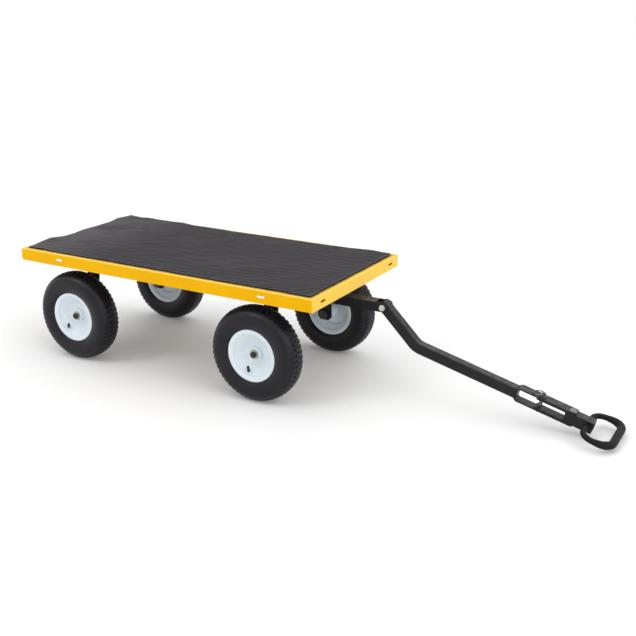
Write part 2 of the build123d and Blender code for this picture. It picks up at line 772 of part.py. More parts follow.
def build_parts():
    parts = {
        "deck_pan": deck_pan(),
        "deck_mat": deck_mat(),
        "crossmember_middle": crossmember(deck_x),
        "rear_axle_frame": rear_axle_frame(),
        "front_axle_frame": front_axle_frame(),
        "turntable_upper_plate": turntable_upper_plate(),
        "turntable_wear_ring": turntable_wear_ring(),
        "turntable_lower_plate": turntable_lower_plate(),
        "steering_stop_pins": steering_stop_pins(),
        "kingpin_bolt": kingpin_bolt(),
        "kingpin_washer": kingpin_washer_ring(),
        "kingpin_nut": kingpin_lock_nut(),
        "tongue_tube": tongue_tube(),
        "hinge_bolt": hinge_bolt(),
        "hinge_washers": hinge_washers(),
        "hinge_nut": hinge_lock_nut(),
        "hinge_bush": hinge_bush(),
        "drawbar_tube": drawbar_tube(),
        "tow_clevis": tow_clevis(),
        "grip_yoke": grip_yoke(),
        "yoke_pivot_bolt": yoke_pivot_bolt(),
        "yoke_pivot_nut": yoke_pivot_nut(),
        "lock_pin": lock_pin(),
        "lock_pin_ring": lock_pin_ring(),
        "hand_loop": hand_loop(),
        "hand_grip": hand_grip(),
    }
    ends = (
        ("rear", "rear_frame", rear_axle_x, rear_bolt_y),
        ("front", "turntable", front_axle_x, turntable_bolt_y),
    )
    for name, bolted, x, bolt_y in ends:
        parts["crossmember_%s_aft" % name] = pierced_crossmember(x - hat_offset, bolt_y)
        parts["crossmember_%s_fore" % name] = pierced_crossmember(x + hat_offset, bolt_y)
        parts["%s_bolts" % bolted] = frame_bolts(x, bolt_y)
        parts["%s_nuts" % bolted] = frame_nuts(x, bolt_y)
        parts["%s_stub_axles" % name] = stub_axles(x)
        parts["%s_axle_washers" % name] = axle_washers(x)
        parts["%s_axle_nuts" % name] = axle_nuts(x)
    wheel = {
        "tyre": wheel_tyre(),
        "rim": wheel_rim(),
        "hub": wheel_hub(),
        "bearings": wheel_bearings(),
        "valve_stem": valve_stem(),
    }
    for corner in valve_turns:
        for piece, shape in wheel.items():
            parts["%s_%s" % (corner, piece)] = wheel_place(corner) * shape
    return parts


if __name__ == "__main__":
    os.makedirs("parts", exist_ok=True)
    for name, shape in build_parts().items():
        export_step(shape, "parts/%s.step" % name)
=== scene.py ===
import bpy
import bmesh
import json
import math
from mathutils import Matrix, Vector


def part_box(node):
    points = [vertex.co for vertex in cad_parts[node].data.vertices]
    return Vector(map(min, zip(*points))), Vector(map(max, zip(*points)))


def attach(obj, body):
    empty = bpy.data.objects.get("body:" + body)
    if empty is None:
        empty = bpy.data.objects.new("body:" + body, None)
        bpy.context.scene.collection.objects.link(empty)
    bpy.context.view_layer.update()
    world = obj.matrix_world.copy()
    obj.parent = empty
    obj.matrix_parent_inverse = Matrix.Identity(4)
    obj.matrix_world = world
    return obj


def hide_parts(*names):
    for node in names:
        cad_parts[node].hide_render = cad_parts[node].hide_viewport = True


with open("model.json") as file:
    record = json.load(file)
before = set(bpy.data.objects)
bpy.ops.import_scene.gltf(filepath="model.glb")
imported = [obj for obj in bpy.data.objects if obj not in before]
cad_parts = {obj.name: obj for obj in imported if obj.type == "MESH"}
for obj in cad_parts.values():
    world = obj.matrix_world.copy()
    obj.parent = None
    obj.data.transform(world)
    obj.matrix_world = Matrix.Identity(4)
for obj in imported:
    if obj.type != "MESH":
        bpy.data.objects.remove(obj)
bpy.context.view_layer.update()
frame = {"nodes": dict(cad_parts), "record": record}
deckLow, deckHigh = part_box("deck_pan")
deckX = (deckLow.x + deckHigh.x) / 2
deckTop = deckHigh.z
matLow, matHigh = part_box("deck_mat")
print("frame loaded,", len(frame["nodes"]), "nodes")


def put(tree, kind, values=None, **settings):
    node = tree.nodes.new(kind)
    for key, value in settings.items():
        setattr(node, key, value)
    for key, value in (values or {}).items():
        if isinstance(value, bpy.types.NodeSocket):
            tree.links.new(value, node.inputs[key])
        else:
            node.inputs[key].default_value = value
    return node


def geo(tree, kind, values=None, **settings):
    return put(tree, kind, values, **settings).outputs[0]


def vec(tree, **parts):
    return geo(tree, "ShaderNodeCombineXYZ", parts)


def parted(tree, vector):
    return put(tree, "ShaderNodeSeparateXYZ", {0: vector}).outputs


def sums(tree, operation, first, second=0.0):
    return geo(tree, "ShaderNodeMath", {0: first, 1: second}, operation=operation)


def ramp(tree, value, low, high, outLow=0.0, outHigh=1.0):
    values = {"Value": value, "From Min": low, "From Max": high, "To Min": outLow, "To Max": outHigh}
    return put(tree, "ShaderNodeMapRange", values).outputs["Result"]


def newMaterial(name):
    material = bpy.data.materials.new(name)
    material.use_nodes = True
    tree = material.node_tree
    tree.nodes.clear()
    shader = put(tree, "ShaderNodeBsdfPrincipled")
    out = put(tree, "ShaderNodeOutputMaterial")
    tree.links.new(shader.outputs["BSDF"], out.inputs["Surface"])
    coords = put(tree, "ShaderNodeTexCoord").outputs["Object"]
    return material, tree, shader, coords


def noise(tree, coords, scale, detail=4.0, rough=0.55, stretch=None, turn=0.0):
    if turn:
        slant = (0.0, 0.0, -math.radians(turn))
        coords = put(tree, "ShaderNodeMapping", {"Vector": coords, "Rotation": slant}).outputs["Vector"]
    if stretch:
        coords = put(tree, "ShaderNodeMapping", {"Vector": coords, "Scale": stretch}).outputs["Vector"]
    values = {"Vector": coords, "Scale": scale, "Detail": detail, "Roughness": rough}
    return put(tree, "ShaderNodeTexNoise", values).outputs["Fac"]


def mixColour(tree, factor, first, second):
    node = put(tree, "ShaderNodeMix", data_type="RGBA")
    for key, value in ((0, factor), (6, first), (7, second)):  # sockets of the colour form
        if isinstance(value, bpy.types.NodeSocket):
            tree.links.new(value, node.inputs[key])
        else:
            node.inputs[key].default_value = value if key == 0 else (*value, 1.0)
    return node.outputs[2]


def bump(tree, shader, height, strength, distance):
    node = put(tree, "ShaderNodeBump", {"Height": height, "Strength": strength, "Distance": distance})
    tree.links.new(node.outputs["Normal"], shader.inputs["Normal"])


# how wear, dust and the painted shade and highlight spread on every surface: a range is of noise, or of how
# far a face looks up
wearAndShadeSet = {
    "patchRange": (0.3, 0.7), "bloomRange": (0.3, 0.72), "scuffBand": 0.06, "scuffRough": 0.3,
    "highlightRange": (0.3, 0.9), "underShadeRange": (-0.3, -0.9), "underShadeShare": 0.85,
    "ledgeRange": (0.5, 0.9), "shadeDirtScale": 30.0, "shadeDirtRange": (0.3, 0.6), "shadeDirtLeast": 0.6,
    "speckScale": 55.0, "speckRange": (0.42, 0.7), "dustUp": (0.3, 1.0), "dustColour": (0.55, 0.53, 0.5),
    "dustRange": (0.55, 0.8), "blotchScale": 9.0, "blotchRange": (0.38, 0.58), "blotchLeast": 0.30,
    "edgeShadeRange": (0.45, 0.15), "smearScale": 22.0, "smearRange": (0.25, 0.75), "sheenRange": (0.2, 0.8),
    "coatSpread": (-0.05, 0.07), "metalSpread": (-0.07, 0.1), "rubberSpread": (-0.06, 0.08),
    "coatDepth": 0.0006, "metalDepth": 0.0003, "rubberDepth": 0.0006,
}


def roughen(tree, shader, value, limits, gloss, spread, extra=0.0):
    rough = ramp(tree, value, *limits, gloss + spread[0], gloss + spread[1])
    tree.links.new(sums(tree, "ADD", rough, extra), shader.inputs["Roughness"])


# painted contact shadow beside the mat, darkest at its edge and gone a short way out, broken up by dirt-like
# clumps
def shadeBesideMat(tree, coords, look):
    spot = parted(tree, coords)
    past = []
    for axis, low, high in (("X", matLow.x, matHigh.x), ("Y", matLow.y, matHigh.y)):
        out = sums(tree, "ABSOLUTE", sums(tree, "SUBTRACT", spot[axis], (low + high) / 2))
        past.append(sums(tree, "SUBTRACT", out, (high - low) / 2))
    near = ramp(tree, sums(tree, "MAXIMUM", *past), 0.0, look["matShadeReach"], look["matShadeShare"], 0.0)
    clumps = noise(tree, coords, wearAndShadeSet["shadeDirtScale"])
    return sums(tree, "MULTIPLY", near, ramp(tree, clumps, *wearAndShadeSet["shadeDirtRange"], wearAndShadeSet["shadeDirtLeast"], 1.0))


def coated(name, look):
    material, tree, shader, coords = newMaterial(name)
    patches = noise(tree, coords, look["patchScale"], detail=3.0)
    base = mixColour(tree, ramp(tree, patches, *wearAndShadeSet["patchRange"]), look["dark"], look["light"])
    scuffs = noise(tree, coords, look["scuffScale"], detail=8.0, rough=0.7, stretch=look["scuffStretch"])
    scuffTo = look["scuffFrom"] + wearAndShadeSet["scuffBand"]
    scuffs = ramp(tree, scuffs, look["scuffFrom"], scuffTo, 0.0, look["scuffShare"])
    base = mixColour(tree, scuffs, base, look["scuffColour"])
    normal = parted(tree, put(tree, "ShaderNodeNewGeometry").outputs["Normal"])
    # painted highlight: faces that look up or to the front are mixed towards a paler yellow
    if "paintedHighlight" in look:
        litFacing = sums(tree, "MAXIMUM", normal["X"], normal["Z"])
        highlightMask = ramp(tree, litFacing, *wearAndShadeSet["highlightRange"], 0.0, look["highlightShare"])
        base = mixColour(tree, highlightMask, base, look["paintedHighlight"])
    # painted shade: faces that look down are darkened towards grey
    if "underShade" in look:
        below = ramp(tree, normal["Z"], *wearAndShadeSet["underShadeRange"], 0.0, wearAndShadeSet["underShadeShare"])
        base = mixColour(tree, below, base, look["underShade"])
    if "matShadeAndDirt" in look:  # painted contact shadow of the mat, with some dirt, on the ledge along it
        ledge = ramp(tree, normal["Z"], *wearAndShadeSet["ledgeRange"])
        shadeAndDirt = sums(tree, "MULTIPLY", shadeBesideMat(tree, coords, look), ledge)
        base = mixColour(tree, shadeAndDirt, base, look["matShadeAndDirt"])
    specks = noise(tree, coords, wearAndShadeSet["speckScale"], detail=6.0, rough=0.65)
    specks = ramp(tree, specks, *wearAndShadeSet["speckRange"])
    dust = sums(tree, "MULTIPLY", ramp(tree, normal["Z"], *wearAndShadeSet["dustUp"]), specks)
    dust = sums(tree, "MULTIPLY", dust, look["dust"])
    base = mixColour(tree, dust, base, wearAndShadeSet["dustColour"])
    tree.links.new(base, shader.inputs["Base Color"])
    smears = noise(tree, coords, wearAndShadeSet["smearScale"], detail=5.0)
    scuffRough = sums(tree, "MULTIPLY", scuffs, wearAndShadeSet["scuffRough"])
    roughen(tree, shader, smears, wearAndShadeSet["smearRange"], look["gloss"], wearAndShadeSet["coatSpread"], scuffRough)
    shader.inputs["Specular IOR Level"].default_value = look["shine"]
    peel = noise(tree, coords, look["peelScale"], detail=2.0)
    bump(tree, shader, peel, look["peel"], wearAndShadeSet["coatDepth"])
    return material


def metal(name, look):
    material, tree, shader, coords = newMaterial(name)
    tarnish = noise(tree, coords, look["patchScale"], detail=5.0, rough=0.6)
    base = mixColour(tree, ramp(tree, tarnish, *wearAndShadeSet["patchRange"]), look["dark"], look["light"])
    tree.links.new(base, shader.inputs["Base Color"])
    shader.inputs["Metallic"].default_value = look["metal"]
    fine = noise(tree, coords, look["grain"], rough=0.6, stretch=look.get("stretch"))
    roughen(tree, shader, fine, wearAndShadeSet["smearRange"], look["gloss"], wearAndShadeSet["metalSpread"])
    bump(tree, shader, fine, look["relief"], wearAndShadeSet["metalDepth"])
    return material


def rubber(name, look):
    material, tree, shader, coords = newMaterial(name)
    bloom = noise(tree, coords, look["patchScale"], detail=6.0, rough=0.6,
                  stretch=look.get("stretch"), turn=look.get("turn", 0.0))
    base = mixColour(tree, ramp(tree, bloom, *wearAndShadeSet["bloomRange"]), look["dark"], look["light"])
    dust = noise(tree, coords, look["dustScale"], detail=8.0, rough=0.7)
    dust = ramp(tree, dust, *wearAndShadeSet["dustRange"], 0.0, look["dust"])
    base = mixColour(tree, dust, base, look["dustColour"])
    if "pale" in look:  # paler towards the rear, in blotches
        along = parted(tree, coords)["X"]
        rearward = ramp(tree, along, look["paleFrom"], look["paleTo"], look["paleShare"], 0.0)
        blotch = noise(tree, coords, wearAndShadeSet["blotchScale"], detail=3.0)
        blotch = ramp(tree, blotch, *wearAndShadeSet["blotchRange"], wearAndShadeSet["blotchLeast"], 1.0)
        base = mixColour(tree, sums(tree, "MULTIPLY", rearward, blotch), base, look["pale"])
    if "edgeShade" in look:  # painted shade on the upright sides of the sheet
        normal = parted(tree, put(tree, "ShaderNodeNewGeometry").outputs["True Normal"])
        upright = ramp(tree, sums(tree, "ABSOLUTE", normal["Z"]), *wearAndShadeSet["edgeShadeRange"])
        base = mixColour(tree, upright, base, look["edgeShade"])
    tree.links.new(base, shader.inputs["Base Color"])
    roughen(tree, shader, bloom, wearAndShadeSet["sheenRange"], look["gloss"], wearAndShadeSet["rubberSpread"])
    shader.inputs["Specular IOR Level"].default_value = look["shine"]
    grain = noise(tree, coords, look["grain"], detail=5.0, rough=0.6)
    bump(tree, shader, grain, look["relief"], wearAndShadeSet["rubberDepth"])
    return material


looks = {
    "yellow_coat": coated("yellowCoat", {
        "dark": (0.94, 0.482, 0.0), "light": (0.98, 0.525, 0.001), "patchScale": 6.0,
        # dark grey: painted shade on faces looking down
        # pale yellow: painted highlight on faces looking up or ahead
        "paintedHighlight": (0.98, 0.70, 0.14), "highlightShare": 0.7, "underShade": (0.15, 0.14, 0.13),
        # dark brown: painted contact shadow, with some dirt, along the mat's edge
        "matShadeAndDirt": (0.13, 0.06, 0.006), "matShadeShare": 0.9, "matShadeReach": 0.014,
        "scuffScale": 26.0, "scuffStretch": (0.35, 1.0, 1.0), "scuffFrom": 0.70, "scuffShare": 0.25,
        "scuffColour": (0.42, 0.24, 0.03), "dust": 0.06, "gloss": 0.45, "shine": 0.08,
        "peelScale": 700.0, "peel": 0.12}),
    "black_coat": coated("blackCoat", {
        "dark": (0.009, 0.009, 0.010), "light": (0.015, 0.015, 0.017), "patchScale": 12.0,
        "scuffScale": 60.0, "scuffStretch": (1.0, 0.4, 1.0), "scuffFrom": 0.68, "scuffShare": 0.4,
        "scuffColour": (0.13, 0.125, 0.12), "dust": 0.14, "gloss": 0.40, "shine": 0.22,
        "peelScale": 1400.0, "peel": 0.25}),
    "white_enamel": coated("whiteEnamel", {
        "dark": (0.77, 0.85, 0.905), "light": (0.83, 0.90, 0.95), "patchScale": 14.0,
        "scuffScale": 70.0, "scuffStretch": (1.0, 1.0, 0.5), "scuffFrom": 0.70, "scuffShare": 0.3,
        "scuffColour": (0.5, 0.49, 0.47), "dust": 0.08, "gloss": 0.32, "shine": 0.35,
        "peelScale": 900.0, "peel": 0.1}),
    "zinc_plate": metal("zincPlate", {
        "dark": (0.12, 0.115, 0.11), "light": (0.27, 0.26, 0.25), "patchScale": 120.0, "metal": 1.0,
        "grain": 900.0, "gloss": 0.46, "relief": 0.2}),
    "yellow_zinc": metal("yellowZinc", {
        "dark": (0.40, 0.37, 0.32), "light": (0.62, 0.58, 0.52), "patchScale": 160.0, "metal": 0.9,
        "grain": 800.0, "gloss": 0.46, "relief": 0.15}),
    "bright_steel": metal("brightSteel", {
        "dark": (0.42, 0.42, 0.43), "light": (0.62, 0.62, 0.63), "patchScale": 60.0, "metal": 1.0,
        "grain": 600.0, "stretch": (1.0, 0.1, 1.0), "gloss": 0.3, "relief": 0.1}),
    "dark_steel": metal("darkSteel", {
        "dark": (0.03, 0.03, 0.032), "light": (0.08, 0.078, 0.075), "patchScale": 90.0, "metal": 0.8,
        "grain": 700.0, "gloss": 0.42, "relief": 0.2}),
    "mat_rubber": rubber("matRubber", {
        "dark": (0.016, 0.0145, 0.0175), "light": (0.052, 0.047, 0.055), "patchScale": 30.0,
        "turn": 42.0, "stretch": (0.06, 1.6, 1.0), "dust": 0.35, "dustScale": 7.0,
        "dustColour": (0.10, 0.095, 0.10), "gloss": 0.62, "shine": 0.22, "grain": 420.0, "relief": 0.35,
        # the mat's upright sides get a near-black painted shade
        "pale": (0.112, 0.105, 0.110), "paleShare": 0.80, "edgeShade": (0.006, 0.0055, 0.006),
        "paleFrom": deckLow.x + 0.03, "paleTo": deckLow.x + 0.36}),
    "tyre_rubber": rubber("tyreRubber", {
        "dark": (0.0058, 0.0052, 0.0078), "light": (0.0108, 0.0096, 0.0136), "patchScale": 18.0,
        "dust": 0.10, "dustScale": 45.0, "dustColour": (0.04, 0.038, 0.042), "gloss": 0.36, "shine": 0.27,
        "grain": 700.0, "relief": 0.25}),
    "grip_rubber": rubber("gripRubber", {
        "dark": (0.012, 0.012, 0.013), "light": (0.018, 0.018, 0.020), "patchScale": 30.0,
        "dust": 0.15, "dustScale": 80.0, "dustColour": (0.04, 0.04, 0.04), "gloss": 0.50, "shine": 0.08,
        "grain": 900.0, "relief": 0.3}),
    "valve_rubber": rubber("valveRubber", {
        "dark": (0.008, 0.008, 0.008), "light": (0.016, 0.016, 0.016), "patchScale": 80.0,
        "dust": 0.2, "dustScale": 120.0, "dustColour": (0.06, 0.06, 0.06), "gloss": 0.55, "shine": 0.4,
        "grain": 900.0, "relief": 0.2}),
    "wear_nylon": rubber("wearNylon", {
        "dark": (0.5, 0.49, 0.43), "light": (0.62, 0.61, 0.55), "patchScale": 25.0,
        "dust": 0.4, "dustScale": 50.0, "dustColour": (0.2, 0.19, 0.17), "gloss": 0.5, "shine": 0.4,
        "grain": 500.0, "relief": 0.15}),
}
# pieces whose finish differs from the rest of their slot
ownLooks = {
    "hinge_bolt": metal("freshZinc", {
        "dark": (0.55, 0.52, 0.50), "light": (0.74, 0.70, 0.68), "patchScale": 90.0, "metal": 0.9,
        "grain": 900.0, "gloss": 0.5, "relief": 0.2}),
    "hand_loop": coated("dullBlack", {
        "dark": (0.010, 0.010, 0.011), "light": (0.016, 0.016, 0.018), "patchScale": 20.0,
        "scuffScale": 60.0, "scuffStretch": (1.0, 0.4, 1.0), "scuffFrom": 0.70, "scuffShare": 0.3,
        "scuffColour": (0.08, 0.078, 0.075), "dust": 0.04, "gloss": 0.52, "shine": 0.06,
        "peelScale": 1400.0, "peel": 0.25}),
}
slotOf = {entry["node"]: entry["material_slot"] for entry in frame["record"]["subparts"]}
for name, node in frame["nodes"].items():
    node.data.materials.clear()
    node.data.materials.append(ownLooks.get(name, looks[slotOf[name]]))
print("materials made,", len(looks) + len(ownLooks))


def addPiece(name, mesh, body, slot, nodes=()):
    piece = bpy.data.objects.new(name, mesh)
    bpy.context.scene.collection.objects.link(piece)
    if not mesh.materials:
        mesh.materials.append(looks[slot])
    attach(piece, body)
    if nodes:
        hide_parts(*nodes)
    return piece


def meshFrom(name, verts, faces, smooth=True):
    mesh = bpy.data.meshes.new(name)
    mesh.from_pydata(verts, [], faces)
    mesh.update()
    tidy = bmesh.new()
    tidy.from_mesh(mesh)
    bmesh.ops.remove_doubles(tidy, verts=tidy.verts, dist=1e-6)
    bmesh.ops.recalc_face_normals(tidy, faces=tidy.faces)
    tidy.to_mesh(mesh)
    tidy.free()
    for face in mesh.polygons:
        face.use_smooth = smooth
    return mesh


def turnedMesh(name, outline, steps, sharp):
    verts = []
    faces = []
    count = len(outline)
    for step in range(steps):
        angle = 2 * math.pi * step / steps
        verts += [(r * math.cos(angle), y, r * math.sin(angle)) for y, r in outline]
    for step in range(steps):
        here = step * count
        there = (step + 1) % steps * count
        for i in range(count):
            j = (i + 1) % count
            faces.append((here + i, here + j, there + j, there + i))
    mesh = meshFrom(name, verts, faces)
    mesh.set_sharp_from_angle(angle=math.radians(sharp))
    return mesh


def rounded(points, radius, steps, most=0.45):
    out = []
    count = len(points)
    for i, point in enumerate(points):
        here = Vector(point)
        before = Vector(points[i - 1]) - here
        after = Vector(points[(i + 1) % count]) - here
        reach = min(radius, before.length * most, after.length * most)  # neighbours' curves don't meet
        start = here + before.normalized() * reach
        end = here + after.normalized() * reach
        for k in range(steps + 1):
            t = k / steps
            spot = start * (1 - t) ** 2 + here * 2 * t * (1 - t) + end * t ** 2
            out.append((spot.x, spot.y))
    return out


def newTree(name, sockets):
    tree = bpy.data.node_groups.new(name, "GeometryNodeTree")
    tree.interface.new_socket("Geometry", in_out="INPUT", socket_type="NodeSocketGeometry")
    for label, kind, value in sockets:
        socket = tree.interface.new_socket(label, in_out="INPUT", socket_type="NodeSocket" + kind)
        if value is not None:
            socket.default_value = value
    tree.interface.new_socket("Geometry", in_out="OUTPUT", socket_type="NodeSocketGeometry")
    return tree, put(tree, "NodeGroupInput").outputs, put(tree, "NodeGroupOutput")


def closeTree(tree, out, geometry, material):
    real = geo(tree, "GeometryNodeRealizeInstances", {"Geometry": geometry})
    painted = geo(tree, "GeometryNodeSetMaterial", {"Geometry": real, "Material": material})
    tree.links.new(painted, out.inputs["Geometry"])


def bakeTree(name, tree, values, startMesh=None):
    holder = bpy.data.objects.new(name + "Source", startMesh or bpy.data.meshes.new(name + "Source"))
    bpy.context.scene.collection.objects.link(holder)
    modifier = holder.modifiers.new(tree.name, "NODES")
    modifier.node_group = tree
    for item in tree.interface.items_tree:
        if item.item_type == "SOCKET" and item.in_out == "INPUT" and item.name in values:
            modifier[item.identifier] = values[item.name]
    graph = bpy.context.evaluated_depsgraph_get()
    mesh = bpy.data.meshes.new_from_object(holder.evaluated_get(graph), depsgraph=graph)
    mesh.name = name
    holder.modifiers.clear()
    bpy.data.objects.remove(holder)
    return mesh


def pointSpot(tree):
    return parted(tree, geo(tree, "GeometryNodeInputPosition"))


# deck mat: a limp rubber sheet with slanting ribs, flat along the near edge,
# humped at the rear and at the far front corner
matSet = {
    "slip": 0.003, "thickness": 0.0036, "cellsX": 190, "cellsY": 92, "lift": 0.0004,
    "weld": 0.00001, "sharp": 50.0,
    "waveRear": 0.0100, "waveFront": 0.0016, "waveFar": 0.0070, "rearRange": (0.05, 0.45),
    "farFrom": 0.72, "farFull": 0.9, "crestRange": (0.34, 0.66), "crestLeast": 0.15,
    "waveScale": 7.0, "flatEdge": 0.11, "flatLeast": 0.05, "seed": 4.0,
    "ribPitch": 0.0170, "ribTurn": 42.0, "ribWidth": 0.0034, "ribFlat": 0.40, "ribStep": 0.014,
    "ribSides": 4, "ribMargin": 0.004, "ribReach": 1.1,
    "edgeWander": 0.014, "edgeScale": 9.0, "edgeMiddle": 0.55,
}
matLength = matHigh.x - matLow.x
matWidth = matHigh.y - matLow.y - 2 * matSet["slip"]
waveLabels = ("Length", "Width", "Rear Wave", "Front Wave", "Far Wave", "Far From", "Wave Scale",
              "Flat Edge", "Seed")

waveTree = bpy.data.node_groups.new("matWave", "GeometryNodeTree")
for label in waveLabels:
    waveTree.interface.new_socket(label, in_out="INPUT", socket_type="NodeSocketFloat")
waveTree.interface.new_socket("Height", in_out="OUTPUT", socket_type="NodeSocketFloat")
waveIn = put(waveTree, "NodeGroupInput").outputs
waveOut = put(waveTree, "NodeGroupOutput")
spot = pointSpot(waveTree)
flat = vec(waveTree, X=spot["X"], Y=spot["Y"], Z=waveIn["Seed"])
broad = put(waveTree, "ShaderNodeTexNoise", {"Vector": flat, "Scale": waveIn["Wave Scale"], "Detail": 1.0})
along = sums(waveTree, "ADD", sums(waveTree, "DIVIDE", spot["X"], waveIn["Length"]), 0.5)
share = ramp(waveTree, along, *matSet["rearRange"])
across = sums(waveTree, "ADD", spot["Y"], sums(waveTree, "MULTIPLY", waveIn["Width"], 0.5))
farShare = ramp(waveTree, sums(waveTree, "DIVIDE", across, waveIn["Width"]), waveIn["Far From"], 1.0)
ahead = ramp(waveTree, along, waveIn["Far From"], matSet["farFull"])
farShare = sums(waveTree, "MULTIPLY", farShare, ahead)
front = geo(waveTree, "ShaderNodeMix", {0: farShare, 2: waveIn["Front Wave"], 3: waveIn["Far Wave"]})
size = geo(waveTree, "ShaderNodeMix", {0: share, 2: waveIn["Rear Wave"], 3: front})
inward = ramp(waveTree, across, 0.0, waveIn["Flat Edge"], matSet["flatLeast"], 1.0)
crest = ramp(waveTree, broad.outputs["Fac"], *matSet["crestRange"], matSet["crestLeast"], 1.0)
crest = sums(waveTree, "MULTIPLY", crest, inward)
waveTree.links.new(sums(waveTree, "MULTIPLY", crest, size), waveOut.inputs["Height"])


def waveHeight(tree, source):
    group = put(tree, "GeometryNodeGroup", node_tree=waveTree)
    for label in waveLabels:
        tree.links.new(source[label], group.inputs[label])
    return group.outputs["Height"]


matSockets = [(label, "Float", 0.0) for label in waveLabels]
matSockets += [("Thickness", "Float", 0.0), ("Base", "Vector", (0.0, 0.0, 0.0))]
matSockets += [("Material", "Material", None)]
matValues = {
    "Length": matLength, "Width": matWidth, "Thickness": matSet["thickness"],
    "Rear Wave": matSet["waveRear"], "Front Wave": matSet["waveFront"], "Far Wave": matSet["waveFar"],
    "Far From": matSet["farFrom"], "Wave Scale": matSet["waveScale"], "Flat Edge": matSet["flatEdge"],
    "Seed": matSet["seed"], "Base": (deckX, -matSet["slip"], deckTop + matSet["lift"]),
    "Material": looks["mat_rubber"],
}

sheetTree, sheetIn, sheetOut = newTree("matSheet", matSockets + [
    ("Cells X", "Int", 100), ("Cells Y", "Int", 50), ("Edge Wander", "Float", 0.0)])
grid = geo(sheetTree, "GeometryNodeMeshGrid", {
    "Size X": sheetIn["Length"], "Size Y": sheetIn["Width"],
    "Vertices X": sheetIn["Cells X"], "Vertices Y": sheetIn["Cells Y"]})
spot = pointSpot(sheetTree)
ragged = put(sheetTree, "ShaderNodeTexNoise", {"Scale": matSet["edgeScale"], "Detail": 2.0}).outputs["Fac"]
ragged = sums(sheetTree, "SUBTRACT", ragged, matSet["edgeMiddle"])
ragged = sums(sheetTree, "MULTIPLY", ragged, sheetIn["Edge Wander"])
drift = {}
for axis, label in (("X", "Length"), ("Y", "Width")):
    outward = sums(sheetTree, "DIVIDE", spot[axis], sums(sheetTree, "MULTIPLY", sheetIn[label], 0.5))
    drift[axis] = sums(sheetTree, "MULTIPLY", outward, ragged)
rise = vec(sheetTree, Z=waveHeight(sheetTree, sheetIn), **drift)
wavy = geo(sheetTree, "GeometryNodeSetPosition", {"Geometry": grid, "Offset": rise})
thick = geo(sheetTree, "GeometryNodeExtrudeMesh", {
    "Mesh": wavy, "Offset": vec(sheetTree, Z=1.0), "Offset Scale": sheetIn["Thickness"],
    "Individual": False}, mode="FACES")
under = geo(sheetTree, "GeometryNodeFlipFaces", {"Mesh": wavy})
both = put(sheetTree, "GeometryNodeJoinGeometry")
sheetTree.links.new(thick, both.inputs["Geometry"])
sheetTree.links.new(under, both.inputs["Geometry"])
welded = geo(sheetTree, "GeometryNodeMergeByDistance", {
    "Geometry": both.outputs[0], "Distance": matSet["weld"]})
moved = geo(sheetTree, "GeometryNodeTransform", {"Geometry": welded, "Translation": sheetIn["Base"]})
closeTree(sheetTree, sheetOut, moved, sheetIn["Material"])
sheetMesh = bakeTree("deckMat", sheetTree, dict(matValues, **{
    "Cells X": matSet["cellsX"], "Cells Y": matSet["cellsY"], "Edge Wander": matSet["edgeWander"]}))
sheetMesh.shade_smooth()
sheetMesh.set_sharp_from_angle(angle=math.radians(matSet["sharp"]))
deckMat = addPiece("deckMat", sheetMesh, "chassis", "mat_rubber", ["deck_mat"])

ribTree, ribIn, ribOut = newTree("matRibs", matSockets + [
    ("Pitch", "Float", 0.008), ("Turn", "Float", 0.7), ("Rib Width", "Float", 0.002),
    ("Flatten", "Float", 0.5), ("Rib Step", "Float", 0.02), ("Count", "Int", 100), ("Reach", "Float", 1.4)])
firstRow = sums(ribTree, "MULTIPLY", sums(ribTree, "SUBTRACT", ribIn["Count"], 1.0), -0.5)
row = geo(ribTree, "GeometryNodeMeshLine", {
    "Count": ribIn["Count"],
    "Start Location": vec(ribTree, Y=sums(ribTree, "MULTIPLY", firstRow, ribIn["Pitch"])),
    "Offset": vec(ribTree, Y=ribIn["Pitch"])})
line = geo(ribTree, "GeometryNodeCurvePrimitiveLine", {
    "Start": vec(ribTree, X=sums(ribTree, "MULTIPLY", ribIn["Reach"], -0.5)),
    "End": vec(ribTree, X=sums(ribTree, "MULTIPLY", ribIn["Reach"], 0.5))})
line = geo(ribTree, "GeometryNodeResampleCurve", {"Curve": line, "Length": ribIn["Rib Step"]}, mode="LENGTH")
rows = geo(ribTree, "GeometryNodeInstanceOnPoints", {"Points": row, "Instance": line})
rows = geo(ribTree, "GeometryNodeTransform", {"Geometry": rows, "Rotation": vec(ribTree, Z=ribIn["Turn"])})
rows = geo(ribTree, "GeometryNodeRealizeInstances", {"Geometry": rows})
spot = pointSpot(ribTree)
past = []
for axis, label in (("X", "Length"), ("Y", "Width")):
    limit = sums(ribTree, "SUBTRACT", sums(ribTree, "MULTIPLY", ribIn[label], 0.5), matSet["ribMargin"])
    past.append(sums(ribTree, "SUBTRACT", sums(ribTree, "ABSOLUTE", spot[axis]), limit))
outside = sums(ribTree, "GREATER_THAN", sums(ribTree, "MAXIMUM", *past), 0.0)
rows = geo(ribTree, "GeometryNodeDeleteGeometry", {"Geometry": rows, "Selection": outside}, domain="POINT")
ribZ = sums(ribTree, "ADD", waveHeight(ribTree, ribIn), ribIn["Thickness"])
rows = geo(ribTree, "GeometryNodeSetPosition", {"Geometry": rows, "Offset": vec(ribTree, Z=ribZ)})
section = geo(ribTree, "GeometryNodeCurvePrimitiveCircle", {
    "Resolution": matSet["ribSides"], "Radius": ribIn["Rib Width"]})
section = geo(ribTree, "GeometryNodeTransform", {
    "Geometry": section, "Scale": vec(ribTree, X=1.0, Y=ribIn["Flatten"], Z=1.0)})
ribs = geo(ribTree, "GeometryNodeCurveToMesh", {"Curve": rows, "Profile Curve": section, "Fill Caps": True})
ribs = geo(ribTree, "GeometryNodeTransform", {"Geometry": ribs, "Translation": ribIn["Base"]})
closeTree(ribTree, ribOut, ribs, ribIn["Material"])
